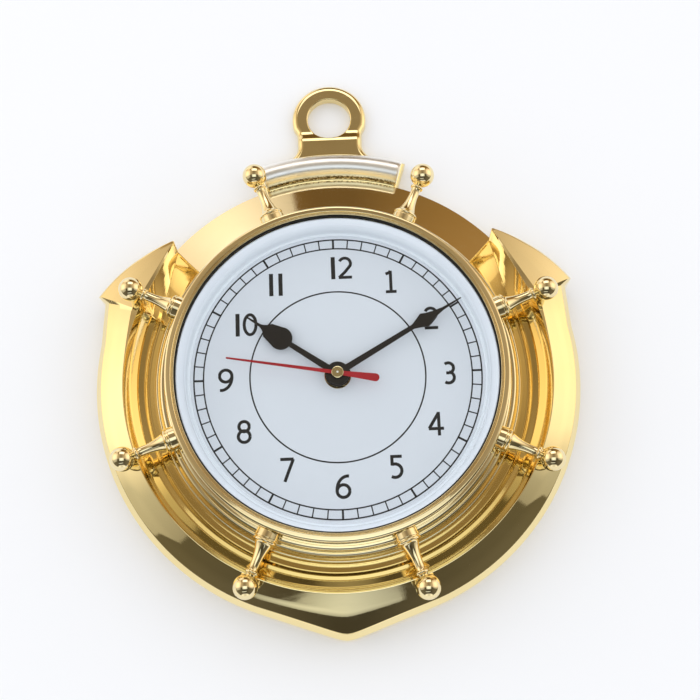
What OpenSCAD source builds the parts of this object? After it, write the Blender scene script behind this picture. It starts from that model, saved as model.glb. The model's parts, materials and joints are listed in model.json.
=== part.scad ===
// Nautical wall clock: a porthole case with ship's-wheel handles, set in an anchor that hangs by its eye.
// Every module works in the clock's own frame: x to the right, y up, z out of the wall, on the dial's axis.
// place() then hangs the clock: +Z up, the dial facing -Y, the wall at y = 0 and the hanging eye at the origin.

/* [Anchor] */
// Radius of the opening between the anchor's arms
arm_in_r = 102.4; // [101.5:0.1:103.5]
// Radius of the arms' outer side
arm_out_r = 117; // [115:0.5:119]
// Distance from the dial's centre down to the point of the crown
crown_reach = 124.4; // [121:0.2:128]
// Height of the arms' inner edge above the wall
arm_h = 29; // [27:0.5:31]
// Distance from the dial's centre up to the hanging eye
eye_rise = 144.5; // [143:0.5:150]
// Radius of the hole in the hanging eye
eye_hole_r = 11.2; // [8:0.1:11.5]
// Outer radius of the hanging eye
eye_r = 19.2; // [17.5:0.1:20]
// Thickness of the hanging eye
eye_t = 5; // [5:0.5:9]

/* [Porthole case] */
// Radius of the flank's outer rim
flank_r = 108.2; // [107:0.1:108.2]
// Height of the bezel's lip above the wall
lip_h = 42; // [41:0.5:44]
// Inner radius of the bezel's lip
lip_in_r = 76.6; // [76:0.1:77.2]
// Outer radius of the bezel
bezel_r = 81; // [80.5:0.1:81.5]

/* [Wheel handles] */
// Radius of the circle through the handles' balls
ball_ring_r = 108.2; // [104:0.2:112]
// Radius of each ball
ball_r = 5.85; // [5:0.05:6.5]
// Radius of each handle's ferrule
ferrule_r = 5.8; // [5:0.1:6]
// Turn of the whole wheel from the dial's upright, clockwise
wheel_turn = 2.25; // [-5:0.25:5]

/* [Dial and hands] */
// Height of the dial's face above the wall
dial_h = 27; // [26.5:0.1:27.5]
// Length of the minute hand
minute_len = 70; // [60:0.5:72]
// Length of the hour hand
hour_len = 52; // [40:0.5:56]
// Length of the second hand
second_len = 53.5; // [40:0.5:65]
// Clockwise angle of the minute hand from twelve
minute_at = 60; // [0:6:354]
// Clockwise angle of the hour hand from twelve
hour_at = 305; // [0:0.5:359.5]
// Clockwise angle of the second hand from twelve
second_at = 280; // [0:1:359]

/* [Hidden] */
handle_n = 8;
HANDLES = [for (i = [1 : handle_n]) str("wheel_handle_", i)];
$fn = 96;
eps = 0.01;

// Anchor
barb_y = 47.5;               // height of the flukes' barbs and of the arms' upper ends above the dial's centre
fluke_tip = [80.2, 72.9];
barb = [116.5, barb_y];
ridge_tip = [79.4, 71.9, 25.5];
ridge_end = [93.8, 48.2, 27.6];
arm_end = asin(barb_y / arm_out_r);
ring_in_r = 97;              // hidden ring that joins the arms to the head, behind the case
ring_t = 3.2;
face_drop = 0.5;             // fall of the arms' face per millimetre of radius
shell_t = 3;
head_half = 18.2;            // half the angle that the head and the stock span
head_t = 6.5;
head_r = 123;
neck_half = 16.6;
fillet_r = 8;
stock_mid_r = 116.4;
stock_r = 6.4;
screw_ring_r = 101.5;
body_screw_n = 6;
screw_head_t = 1.6;
stock_screw_at = 10;

// Case
crease = [88.7, 19];         // where the mouldings end and the flared flank begins
flank_edge_z = 8;
barrel_r = 78.4;
seat_z = 36.5;
handle_z = lip_h - 8.4;
stud_r = 2.5;
glass_r = 78.2;
glass_t = 2.4;
glass_z = 37.4;
gasket_t = 0.4;
dial_t = 1;

// Hands and motion works
hand_t = 0.5;
bush_r = 3.9;
bush_top = 29.9;
hour_tube_r = 2.5;
hour_tube_in = 1.68;
hour_top = 31.1;
cannon_r = 1.6;
cannon_in = 0.6;
cannon_top = 32.7;
arbor_r = 0.5;
arbor_top = 34.9;
hour_hand_z = 30.1;
minute_hand_z = 31.9;
second_hand_z = 33.3;

// Movement
case_half = 28;
case_wall = 1.2;
case_back = 9;
case_front = 25.1;
cover_t = 1.2;
bay_top = -12.2;             // wall between the gears and the battery bay
battery_r = 7.1;
battery_len = 49;
battery_at = [0, -19.6, 17];
third_at = [-6.3, 10.9];
rotor_at = [-2.1, 18.2];
motion_at = [10.39, 6];
knob_at = [22.39, 6];
second_teeth = 60;
third_pinion_teeth = 12;
third_teeth = 48;
rotor_teeth = 8;
fast_m = 0.35;               // module of the seconds gears
rotor_m = 0.3;
cannon_teeth = 12;
motion_teeth = 36;
motion_pinion_teeth = 10;
hour_teeth = 40;
knob_teeth = 12;
slow_m = 0.5;                // module of the centre pinion, motion wheel and knob
hour_m = 0.48;

// Points of a circular arc
function arc(c, r, a0, a1, n) = [for (i = [0 : n]) let (a = a0 + (a1 - a0) * i / n) c + r * [cos(a), sin(a)]];

// Points of an arc of a given radius that sags below the line from a to b
function sag(a, b, r, n) =
    let (chord = b - a, mid = (a + b) / 2, up = [-chord[1], chord[0]] / norm(chord),
         c = mid + up * sqrt(r * r - norm(chord) * norm(chord) / 4),
         from = atan2(a[1] - c[1], a[0] - c[0]), to = atan2(b[1] - c[1], b[0] - c[0]))
    arc(c, r, from, to, n);

// Direction of a clockwise dial angle, as an angle from the x axis
function dial_dir(clock) = 90 - clock;

// Angle of gear B's first tooth when B meshes with gear A and lies in direction dir from it
function mesh(dir, a_teeth, b_teeth, a_turn) =
    dir + 180 + (dir - a_turn) * a_teeth / b_teeth + 180 / b_teeth;

// Direction from one axis to another
function dir_to(a, b) = atan2(b[1] - a[1], b[0] - a[0]);

// Involute of an angle, in degrees
function inv(a) = tan(a) * 180 / PI - a;

// Hangs a part that was built in the clock's own frame
module place() translate([0, 0, -eye_rise]) rotate([90, 0, 0]) children();

// Disc or tube between two heights
module tube(r, z0, z1, hole = 0, at = [0, 0]) {
    translate([at[0], at[1], z0]) difference() {
        cylinder(r = r, h = z1 - z0);
        if (hole > 0) translate([0, 0, -1]) cylinder(r = hole, h = z1 - z0 + 2);
    }
}

// Spur gear outline with involute flanks, thinned a little so that it runs free
module gear_2d(teeth, m, turn) {
    pitch = teeth * m / 2;
    base = pitch * cos(20);
    tip = pitch + 0.85 * m;
    root = pitch - 1.2 * m;
    half = 82 / teeth + inv(20);
    radii = [root, max(root + 0.05 * m, base), pitch, tip];
    function flank(r) = half - (r > base ? inv(acos(base / r)) : 0);
    polygon([for (i = [0 : teeth - 1], s = [-1, 1], k = [0 : 3])
        let (r = s < 0 ? radii[k] : radii[3 - k], a = turn + i * 360 / teeth + s * flank(r)) r * [cos(a), sin(a)]]);
}

module gear(teeth, m, z0, z1, turn, at = [0, 0], hole = 0) {
    translate([at[0], at[1], z0]) linear_extrude(z1 - z0) difference() {
        gear_2d(teeth, m, turn);
        if (hole > 0) circle(r = hole);
    }
}

// Turns of the gears at rest, so that every pair is in mesh
second_turn = 0;
third_pinion_turn = mesh(dir_to([0, 0], third_at), second_teeth, third_pinion_teeth, second_turn);
third_turn = 0;
rotor_turn = mesh(dir_to(third_at, rotor_at), third_teeth, rotor_teeth, third_turn);
cannon_turn = 0;
motion_turn = mesh(dir_to([0, 0], motion_at), cannon_teeth, motion_teeth, cannon_turn);
knob_turn = mesh(dir_to(motion_at, knob_at), motion_teeth, knob_teeth, motion_turn);
hour_turn = 0;
motion_pinion_turn = mesh(dir_to([0, 0], motion_at), hour_teeth, motion_pinion_teeth, hour_turn);

// ---- Anchor ----

// Section of the arms: two coved steps up to the inner edge, then the sloping face
module arm_section() {
    step = [96.2, 22.2];
    reach = crown_reach + 6;
    polygon(concat(
        [[flank_r + 0.3, 0], [flank_r + 0.3, flank_edge_z + 0.3], [92.6, 17.3]],
        arc(step + [-3.4, 0.6], 3.4, 285, 350, 5),
        [step + [0.8, 0.9]],
        arc([arm_in_r - 5.6, arm_h - 0.6], 5.6, 300, 358, 6),
        [[arm_in_r, arm_h], [reach, arm_h - face_drop * (reach - arm_in_r)], [reach, 0]]));
}

// Hollow in the back of the arms
module arm_hollow_section() {
    in_r = flank_r + 2.4;
    out_r = arm_out_r - shell_t;
    polygon([[in_r, -1], [out_r, -1], [out_r, 18.6], [arm_in_r + 1.2, 24.4], [98.6, 17.6], [in_r, 8.4]]);
}

// Front outline of the arms: round, with a pointed crown and sides that run nearly straight up to the flukes
module arm_outline() {
    crown_foot = (arm_out_r - 1.2) * [sin(27), -cos(27)];
    side = [arm_out_r - 0.5, -8];
    circle(r = arm_out_r);
    polygon([[-arm_in_r, -8], side + [-2 * side[0], 0], [3.6 - arm_out_r, barb_y - 3], [arm_out_r - 3.6, barb_y - 3],
        side, [arm_in_r, -8], crown_foot, [0, -crown_reach], [-crown_foot[0], crown_foot[1]]]);
}

// Arms with the crown
module arms() {
    intersection() {
        rotate([0, 0, 180 - arm_end]) rotate_extrude(angle = 180 + 2 * arm_end) arm_section();
        translate([0, 0, -1]) linear_extrude(60) arm_outline();
    }
}

// Convex outer edge of the right fluke, from its tip to its barb
function fluke_edge() = let (points = sag(barb, fluke_tip, 81, 8)) [for (i = [8 : -1 : 0]) points[i]];

// Frame of the right fluke's ridge: x runs from the tip down to the arm, y points outward
module ridge_frame(tilt) {
    run = ridge_end - ridge_tip;
    flat = norm([run[0], run[1]]);
    translate(ridge_tip) rotate([0, -atan2(run[2], flat), atan2(run[1], run[0])]) rotate([tilt, 0, 0])
        translate([-80, -80, 0]) cube([200, 160, 40]);
}

// Right fluke: an outer face and a steeper inner face that meet in a ridge
module fluke() {
    difference() {
        linear_extrude(arm_h) polygon(concat([[64, 58]], fluke_edge(),
            [[arm_out_r - 3.8, barb_y - 3], [96, barb_y - 3], [86, barb_y]]));
        ridge_frame(-26);
        ridge_frame(80);
        flank_room();
    }
}

// Room that the case's flank takes, with a little clearance
module flank_room() {
    rotate_extrude() polygon([[0, ring_t - eps], [flank_r + 0.3, ring_t - eps], [flank_r + 0.3, flank_edge_z + 0.3],
        [crease[0] + 0.3, crease[1] + 0.5], [crease[0] + 0.3, 45], [0, 45]]);
}

// Outline of the head: a sector that carries the stock, the neck and the eye, blended by two fillets
module head_outline() {
    neck_foot = sqrt(pow(head_r + fillet_r, 2) - pow(neck_half + fillet_r, 2));
    fillet_c = [neck_half + fillet_r, neck_foot];
    tangent = atan2(fillet_c[1], fillet_c[0]);
    right = concat(
        [(flank_r - 1) * [cos(90 - head_half), sin(90 - head_half)]],
        arc([0, 0], head_r, 90 - head_half, tangent, 8),
        arc(fillet_c, fillet_r, tangent + 180, 180, 6),
        [[neck_half, eye_rise - 6]]);
    polygon(concat(right, [for (i = [len(right) - 1 : -1 : 0]) [-right[i][0], right[i][1]]],
        arc([0, 0], flank_r - 1, 90 + head_half, 90 - head_half, 12)));
}

// Ring of the eye, rounded at the front
module eye() {
    round = 2.4;
    translate([0, eye_rise, 0]) rotate_extrude() polygon(concat(
        [[eye_hole_r - 1, 0], [eye_r, 0]],
        arc([eye_r - round, eye_t - round], round, 0, 90, 6),
        arc([eye_hole_r + 1, eye_t - 1], 1, 90, 180, 4),
        [[eye_hole_r, 1]]));
}

module head() {
    difference() {
        linear_extrude(head_t) head_outline();
        translate([0, eye_rise, -1]) cylinder(r = eye_hole_r + 2, h = 20);
        flank_room();
    }
    difference() {
        eye();
        translate([0, eye_rise, -1]) cylinder(r = eye_hole_r, h = 20);
    }
}

module screw_places(n, r, first) {
    for (i = [0 : n - 1]) rotate([0, 0, first + i * 360 / n]) translate([r, 0, 0]) children();
}

module stock_screw_places() {
    for (s = [-1, 1]) rotate([0, 0, 90 + s * stock_screw_at]) translate([stock_mid_r, 0, 0]) children();
}

// Clearance hole with a counterbore at the back
module screw_hole(shank_r, head_r, depth) {
    translate([0, 0, -1]) cylinder(r = shank_r, h = depth + 1);
    translate([0, 0, -1]) cylinder(r = head_r, h = screw_head_t + 1.1);
}

module anchor_casting() {
    color("goldenrod") place() difference() {
        union() {
            difference() {
                arms();
                rotate([0, 0, 180 - arm_end + 4]) rotate_extrude(angle = 172 + 2 * arm_end) arm_hollow_section();
            }
            fluke();
            mirror([1, 0, 0]) fluke();
            head();
            tube(flank_r + 0.6, 0, ring_t, ring_in_r);
        }
        screw_places(body_screw_n, screw_ring_r, 0) screw_hole(2, 3.2, ring_t + 1);
        stock_screw_places() screw_hole(1.5, 2.6, head_t + 1);
    }
}

// Half-round bar bent round the top of the case
module anchor_stock() {
    color("goldenrod") place() difference() {
        rotate([0, 0, 90 - head_half + 0.6]) rotate_extrude(angle = 2 * head_half - 1.2)
            polygon(arc([stock_mid_r, head_t + 0.02], stock_r, 0, 180, 16));
        stock_screw_places() translate([0, 0, head_t - 1]) cylinder(r = 1.2, h = 4.5);
    }
}

// ---- Porthole case ----

// Round case: skirt seat, two beads, a step and the flared flank outside, dial shelf and hollow inside
module porthole_body() {
    inner_r = 76.1;
    shelf_r = 62;
    bead = 1.7;
    color("goldenrod") place() difference() {
        rotate_extrude($fn = 180) polygon(concat(
            [[inner_r, seat_z], [barrel_r, seat_z], [barrel_r, 27.6], [bezel_r + 0.4, 27.6]],
            arc([bezel_r + 0.6, 27.6 - bead], bead, 90, -60, 6),
            arc([bezel_r + 3.2, 27.6 - 2.6 * bead], bead, 90, -50, 6),
            [[crease[0] - 2.2, crease[1] + 1.6], [crease[0] - 0.6, crease[1] + 1.2]],
            sag(crease, [flank_r, flank_edge_z], 600, 4),
            [[flank_r, ring_t], [96.5, ring_t], [96.5, 8.4], [86, 16.2], [82, 22], [shelf_r, 22.8],
             [shelf_r, dial_h - dial_t - 0.1], [inner_r, dial_h - dial_t - 0.1]]));
        screw_places(body_screw_n, screw_ring_r, 0) translate([0, 0, ring_t - 1]) cylinder(r = 1.5, h = 5);
    }
}

// Bezel: a skirt that slips over the case and a rounded lip that holds the glass
module bezel_ring() {
    round = 2;
    color("gold") place() difference() {
        rotate_extrude($fn = 180) polygon(concat(
            [[barrel_r + 0.05, 27.8], [bezel_r - 0.5, 27.8], [bezel_r, 28.3]],
            arc([bezel_r - round, lip_h - round], round, 0, 90, 6),
            [[lip_in_r + 1.3, lip_h], [lip_in_r + 1, lip_h - 0.6], [lip_in_r + 0.3, lip_h - 0.7],
             [lip_in_r, lip_h - 1.2], [lip_in_r, glass_z + glass_t + gasket_t + 0.02],
             [barrel_r + 0.05, glass_z + glass_t + gasket_t + 0.02]]));
        screw_places(handle_n, 0, dial_dir(180 / handle_n + wheel_turn)) translate([bezel_r - 3, 0, handle_z])
            rotate([0, 90, 0]) cylinder(r = stud_r, h = 6);
    }
}

// Turned handle: stud, ferrule with its collar, slim waist, neck ring and ball
module wheel_handle(index) {
    foot = bezel_r + 0.05;
    collar = foot + 5;
    waist = collar + 12;
    waist_r = 2.2;
    neck = ball_ring_r - ball_r - 0.6;
    color("gold") place() rotate([0, 0, dial_dir((index - 0.5) * 360 / handle_n + wheel_turn)])
        translate([0, 0, handle_z]) rotate([0, 90, 0]) rotate_extrude() polygon(concat(
            [[0, foot - 2.2], [stud_r - 0.04, foot - 2.2], [stud_r - 0.04, foot], [ferrule_r - 0.3, foot]],
            [[ferrule_r, foot + 0.4], [ferrule_r, foot + 3.2], [ferrule_r - 0.5, foot + 3.6]],
            arc([ferrule_r - 0.9, collar - 0.3], 0.9, -50, 80, 4),
            [for (i = [0 : 8]) let (u = i / 8)
                [waist_r + (ferrule_r - 1.4 - waist_r) * pow(1 - u, 2.2), collar + 0.9 + u * (waist - collar - 0.9)]],
            [[waist_r, neck - 1.6]],
            arc([waist_r, neck - 0.7], 0.9, -80, 80, 5),
            arc([0, ball_ring_r], ball_r, asin(-0.94), 90, 16)));
}

module glass() {
    bevel = 5;
    color("lightcyan", 0.4) place() rotate_extrude($fn = 180) polygon([[0, glass_z], [glass_r, glass_z],
        [glass_r, glass_z + glass_t - 1], [glass_r - bevel, glass_z + glass_t - 0.02], [0, glass_z + glass_t - 0.02]]);
}

module glass_gasket() {
    color("black") place() tube(glass_r, glass_z + glass_t, glass_z + glass_t + gasket_t, lip_in_r - 0.7);
}

// White ring that rises in fine steps from the dial to the glass
module dial_surround() {
    color("white") place() rotate_extrude($fn = 180) polygon([[70.2, dial_h + 0.02], [76, dial_h + 0.02],
        [76, glass_z - 0.05], [75.4, glass_z - 0.05], [75, 34.5], [74.2, 34.2], [73.6, 31.8], [72.6, 31.4],
        [71.8, 29], [70.8, 28.6]]);
}

module dial_plate() {
    color("white") place() tube(76, dial_h - dial_t, dial_h, bush_r + 0.1);
}

// ---- Hands ----

// A hand lies along +y from its own centre, then turns to its dial angle
module hand_at(clock, z) {
    place() translate([0, 0, z]) rotate([0, 0, -clock]) children();
}

// Round bulb spade hand
module hour_hand() {
    bulb_y = 32.5;
    bulb_r = 5.6;
    color("black") hand_at(hour_at, hour_hand_z) linear_extrude(hand_t) difference() {
        union() {
            circle(r = 6);
            polygon([[-1.7, 0], [1.7, 0], [1.15, bulb_y], [-1.15, bulb_y]]);
            translate([0, bulb_y]) circle(r = bulb_r);
            polygon(concat([[0, bulb_y - 1], [bulb_r - 0.2, bulb_y + 1.2]],
                arc([7.6, bulb_y + 13.6], 7.1, 237, 193, 6), [[0.35, hour_len], [-0.35, hour_len]],
                arc([-7.6, bulb_y + 13.6], 7.1, -13, -57, 6), [[-bulb_r + 0.2, bulb_y + 1.2]]));
        }
        circle(r = hour_tube_r + 0.01);
    }
}

// Slim spade hand with a small diamond head
module minute_hand() {
    right = [[1.6, 0], [1.15, 42.7], [2.3, 45.7], [3.7, 48.9], [2.6, 51.3], [1.5, 55.2], [0.7, 59.7],
        [0.25, minute_len]];
    color("black") hand_at(minute_at, minute_hand_z) linear_extrude(hand_t) difference() {
        union() {
            circle(r = 5.6);
            polygon(concat(right, [for (i = [len(right) - 1 : -1 : 0]) [-right[i][0], right[i][1]]]));
        }
        circle(r = cannon_r + 0.01);
    }
}

// Needle with a tail that widens to a round end
module second_hand() {
    tail = 20;
    tail_r = 1.9;
    color("red") hand_at(second_at, second_hand_z) linear_extrude(0.35) difference() {
        union() {
            polygon(concat([[0.95, 0], [0.42, second_len], [-0.42, second_len], [-0.95, 0]],
                arc([0, tail_r - tail], tail_r, 180, 360, 12)));
            circle(r = 2.2);
        }
        circle(r = arbor_r + 0.01);
    }
}

// Brass boss that presses the second hand onto its arbor
module hand_cap() {
    color("gold") place() rotate_extrude() polygon(concat(
        [[arbor_r + 0.01, second_hand_z + 0.36], [2.9, second_hand_z + 0.36]],
        arc([2.5, second_hand_z + 1.1], 0.4, 0, 90, 3), [[arbor_r + 0.01, second_hand_z + 1.5]]));
}

// ---- Movement ----

module movement_case() {
    inner = case_half - case_wall;
    color("dimgray") place() difference() {
        translate([-case_half, -case_half, case_back + cover_t]) cube([2 * case_half, 2 * case_half, case_front - case_back - cover_t]);
        translate([-inner, bay_top + case_wall, 0]) cube([2 * inner, inner - bay_top - case_wall, case_front - case_wall]);
        translate([-inner, -inner, 0]) cube([2 * inner, inner + bay_top, case_front - 0.5]);
        translate([0, 0, 20]) cylinder(r = bush_r - 1, h = 10);
    }
}

// Cover over the gears; the battery bay stays open
module movement_cover() {
    color("dimgray") place() difference() {
        translate([-case_half, bay_top, case_back]) cube([2 * case_half, case_half - bay_top, cover_t - 0.02]);
        translate([knob_at[0], knob_at[1], 0]) cylinder(r = 1.5, h = 20);
    }
}

module threaded_bushing() {
    color("gold") place() {
        tube(bush_r - 0.02, case_front, bush_top, hour_tube_r + 0.08);
        tube(bush_r - 1.02, case_front - case_wall, case_front, hour_tube_r + 0.08);
    }
}

module centre_nut() {
    color("gold") place() difference() {
        translate([0, 0, dial_h + 0.52]) cylinder(r = 5.6, h = 2, $fn = 6);
        cylinder(r = bush_r, h = 40);
    }
}

module dial_washer() {
    color("gold") place() tube(6.4, dial_h, dial_h + 0.5, bush_r);
}

module rubber_washer() {
    color("black") place() tube(9, case_front + 0.02, dial_h - dial_t - 0.02, bush_r);
}

coil_y = 24;
coil_r = 2.2;

// Winding on a bobbin, with a slot for the stator's core
module coil() {
    color("sienna") place() difference() {
        translate([-12, coil_y, 16]) rotate([0, 90, 0]) union() {
            cylinder(r = coil_r, h = 18);
            cylinder(r = coil_r + 0.4, h = 1);
            translate([0, 0, 17]) cylinder(r = coil_r + 0.4, h = 1);
        }
        translate([-15, coil_y - 1.1, 15.45]) cube([24, 2.2, 1.1]);
    }
}

// Soft iron loop through the coil and round the rotor
module stator() {
    color("silver") place() translate([0, 0, 15.6]) linear_extrude(0.8) difference() {
        translate([-16, 14.4]) square([26, 10.6]);
        translate([-13, 21.4]) square([20, 1.6]);
        translate([-13, 25 - 0.001]) square([20, 2]);
        translate(rotor_at) circle(r = 3.1);
        translate(third_at) circle(r = 3.4);
        translate([-20, 8]) square([9, 10]);
    }
}

module circuit_board() {
    color("darkgreen") place() translate([13, 14, 13]) cube([12, 11.4, 1]);
}

module quartz_can() {
    color("silver") place() translate([15, 23.6, 15.1]) rotate([0, 90, 0]) cylinder(r = 1.05, h = 6);
}

module rotor() {
    color("gray") place() {
        gear(rotor_teeth, rotor_m, 13.3, 14.7, rotor_turn, rotor_at);
        tube(2.6, 15.1, 17, 0, rotor_at);
        tube(0.4, 11.2, 23, 0, rotor_at);
    }
}

module third_wheel() {
    color("ivory") place() {
        gear(third_pinion_teeth, fast_m, 11.4, 13.5, third_pinion_turn, third_at);
        gear(third_teeth, rotor_m, 13.5, 14.4, third_turn, third_at);
        tube(0.5, 11, 23, 0, third_at);
    }
}

module seconds_wheel() {
    color("ivory") place() {
        gear(second_teeth, fast_m, 11.8, 12.8, second_turn);
        tube(arbor_r, 10.8, arbor_top);
    }
}

module centre_wheel() {
    color("ivory") place() {
        tube(cannon_r, 15, cannon_top, cannon_in);
        tube(6.5, 15.6, 16.4, cannon_in);
        gear(cannon_teeth, slow_m, 18.5, 20, cannon_turn, [0, 0], cannon_in);
    }
}

module motion_wheel() {
    color("ivory") place() {
        gear(motion_teeth, slow_m, 18.8, 19.8, motion_turn, motion_at);
        gear(motion_pinion_teeth, hour_m, 19.8, 22.2, motion_pinion_turn, motion_at);
        tube(0.6, 17, 23.4, 0, motion_at);
    }
}

module hour_wheel() {
    color("ivory") place() {
        gear(hour_teeth, hour_m, 20.6, 21.8, hour_turn, [0, 0], hour_tube_in);
        tube(hour_tube_r, 20.6, hour_top, hour_tube_in);
    }
}

// Knob that sets the hands, reached from behind
module setting_knob() {
    color("dimgray") place() {
        gear(knob_teeth, slow_m, 18.8, 20, knob_turn, knob_at);
        tube(1.4, 8, 19, 0, knob_at);
        tube(0.6, 19, 23.4, 0, knob_at);
        translate([knob_at[0], knob_at[1], 4.6]) linear_extrude(3.6) gear_2d(24, 0.42, 0);
    }
}

module battery() {
    color("darkslategray") place() translate([-battery_len / 2, 0, 0]) translate(battery_at) rotate([0, 90, 0]) {
        cylinder(r = battery_r, h = battery_len - 1.5);
        cylinder(r = 2.7, h = battery_len);
    }
}

// Spring leaf at one end of the battery bay
module contact(side) {
    color("silver") place() translate([side * (battery_len / 2 + 0.4) - (side < 0 ? 0.4 : 0), battery_at[1] - 3.5, 12])
        cube([0.4, 7, 9]);
}

module contact_plus() contact(1);

module contact_minus() contact(-1);

// ---- Fasteners ----

// Screw driven in from the back, with a slot in its head
module screw(shank_r, head_r, end_z) {
    difference() {
        union() {
            cylinder(r = head_r, h = screw_head_t);
            cylinder(r = shank_r, h = end_z);
        }
        translate([-head_r - 1, -0.4, -1]) cube([2 * head_r + 2, 0.8, 1.7]);
    }
}

module body_screws() {
    color("gold") place() screw_places(body_screw_n, screw_ring_r, 0) screw(1.48, 3, 7);
}

module stock_screws() {
    color("gold") place() stock_screw_places() screw(1.18, 2.4, 9.6);
}

anchor_casting();
anchor_stock();
porthole_body();
bezel_ring();
for (i = [1 : handle_n]) wheel_handle(i);
glass();
glass_gasket();
dial_surround();
dial_plate();
hour_hand();
minute_hand();
second_hand();
hand_cap();
movement_case();
movement_cover();
threaded_bushing();
centre_nut();
dial_washer();
rubber_washer();
coil();
stator();
circuit_board();
quartz_can();
rotor();
third_wheel();
seconds_wheel();
centre_wheel();
motion_wheel();
hour_wheel();
setting_knob();
battery();
contact_plus();
contact_minus();
body_screws();
stock_screws();
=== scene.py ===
"""Looks of the nautical anchor wall clock: polished brass, glazed dial, hands and quartz movement.

Shapes are written in the clock's own frame, in millimetres: x to the right, y up, z out of the wall, with
the origin on the dial's axis at the wall. row() turns a point of that frame into the row frame, in metres.
"""

import json
import math

import bmesh
import bpy
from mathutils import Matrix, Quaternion, Vector


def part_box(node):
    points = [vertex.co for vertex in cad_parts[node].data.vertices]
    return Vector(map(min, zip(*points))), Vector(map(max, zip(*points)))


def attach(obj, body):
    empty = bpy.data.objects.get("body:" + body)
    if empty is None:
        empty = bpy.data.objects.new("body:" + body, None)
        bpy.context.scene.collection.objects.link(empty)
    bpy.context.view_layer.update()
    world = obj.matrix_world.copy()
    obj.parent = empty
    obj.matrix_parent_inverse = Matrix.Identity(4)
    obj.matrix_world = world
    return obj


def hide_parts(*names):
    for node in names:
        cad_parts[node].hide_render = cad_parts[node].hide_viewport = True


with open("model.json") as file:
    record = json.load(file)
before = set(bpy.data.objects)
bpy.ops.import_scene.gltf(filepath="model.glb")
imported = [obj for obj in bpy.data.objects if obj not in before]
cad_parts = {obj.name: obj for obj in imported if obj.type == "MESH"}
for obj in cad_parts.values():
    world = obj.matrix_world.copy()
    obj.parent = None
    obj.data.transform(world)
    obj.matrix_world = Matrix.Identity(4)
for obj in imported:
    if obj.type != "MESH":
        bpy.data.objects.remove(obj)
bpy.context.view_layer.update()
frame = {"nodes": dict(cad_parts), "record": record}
NODES = frame["nodes"]
MM = 0.001
TAU = 2 * math.pi


# ---- Sizes taken from the frame, in millimetres ----

def node_size(name):
    """Low and high corners of a CAD node in the clock's own frame."""
    lo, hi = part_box(name)
    return (
        Vector((lo.x - AXIS.x, lo.z - AXIS.z, -hi.y)) / MM,
        Vector((hi.x - AXIS.x, hi.z - AXIS.z, -lo.y)) / MM,
    )


AXIS = sum(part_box("dial_plate"), Vector()) / 2
CASTING_LO, CASTING_HI = node_size("anchor_casting")
BODY_HI = node_size("porthole_body")[1]
BEZEL_HI = node_size("bezel_ring")[1]
GLASS_LO, GLASS_HI = node_size("glass")
STOCK_LO, STOCK_HI = node_size("anchor_stock")
DIAL_HI = node_size("dial_plate")[1]

DIAL_Z = DIAL_HI.z
LIP_Z = BEZEL_HI.z
BEZEL_R = BEZEL_HI.x
FLANK_R = BODY_HI.x
GLASS_R = GLASS_HI.x
GLASS_Z = GLASS_LO.z
GLASS_TOP = GLASS_HI.z
CROWN_REACH = -CASTING_LO.y
EYE_RISE = -AXIS.z / MM
EYE_R = CASTING_HI.y - EYE_RISE
HANDLE_N = sum(name.startswith("wheel_handle_") for name in NODES)


def row(p):
    """Row-frame place of a point of the clock's own frame."""
    return Vector((AXIS.x + p[0] * MM, -p[2] * MM, AXIS.z + p[1] * MM))


# ---- Mesh helpers ----

def polar(r, angle, z=0.0):
    """Point at a radius and an angle in degrees, counter-clockwise from x."""
    a = math.radians(angle)
    return Vector((r * math.cos(a), r * math.sin(a), z))


def arc(cx, cy, r, start, end, n):
    """Points of an arc in the plane, from one angle to another."""
    steps = [math.radians(start + (end - start) * i / n) for i in range(n + 1)]
    return [(cx + r * math.cos(a), cy + r * math.sin(a)) for a in steps]


def rounded(corners, closed=True, steps=5, support=0.25):
    """Polyline through the corners with each one rounded, and a support point beside each round.

    A corner is (point, radius). The number of points depends only on the number of corners, so that rows can
    be lofted.
    """
    points = [Vector(c[0]) for c in corners]
    n = len(points)
    out = []
    for i, (_, radius) in enumerate(corners):
        here = points[i]
        if not closed and i in (0, n - 1):
            out.append(here)
            continue
        back = points[i - 1] - here
        ahead = points[(i + 1) % n] - here
        turn = math.pi - back.angle(ahead, math.pi)
        reach = max(radius * math.tan(turn / 2), 0.002)
        reach = min(reach, 0.4 * back.length, 0.4 * ahead.length)
        a = here + back.normalized() * reach
        b = here + ahead.normalized() * reach
        edge_a = min(support, 0.2 * back.length)
        edge_b = min(support, 0.2 * ahead.length)
        out.append(a + back.normalized() * edge_a)
        for k in range(steps + 1):
            t = k / steps
            out.append(a * (1 - t) ** 2 + here * 2 * t * (1 - t) + b * t ** 2)
        out.append(b + ahead.normalized() * edge_b)
    return out


def finish_mesh(name, bm, material, body="case", sharp=32.0, replaces=(), slot=None):
    """Turns a bmesh built in the clock's own frame into an object that rides on a body."""
    for v in bm.verts:
        v.co = row(v.co)
    bmesh.ops.remove_doubles(bm, verts=bm.verts, dist=1e-7)
    bmesh.ops.recalc_face_normals(bm, faces=bm.faces)
    limit = math.radians(sharp)
    for f in bm.faces:
        f.smooth = True
    for e in bm.edges:
        e.smooth = len(e.link_faces) == 2 and e.calc_face_angle(0.0) < limit
    mesh = bpy.data.meshes.new(name)
    bm.to_mesh(mesh)
    bm.free()
    obj = bpy.data.objects.new(name, mesh)
    bpy.context.scene.collection.objects.link(obj)
    for m in material if isinstance(material, (list, tuple)) else [material]:
        mesh.materials.append(m)
    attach(obj, body)
    if replaces:
        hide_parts(*replaces)
    return obj


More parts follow.
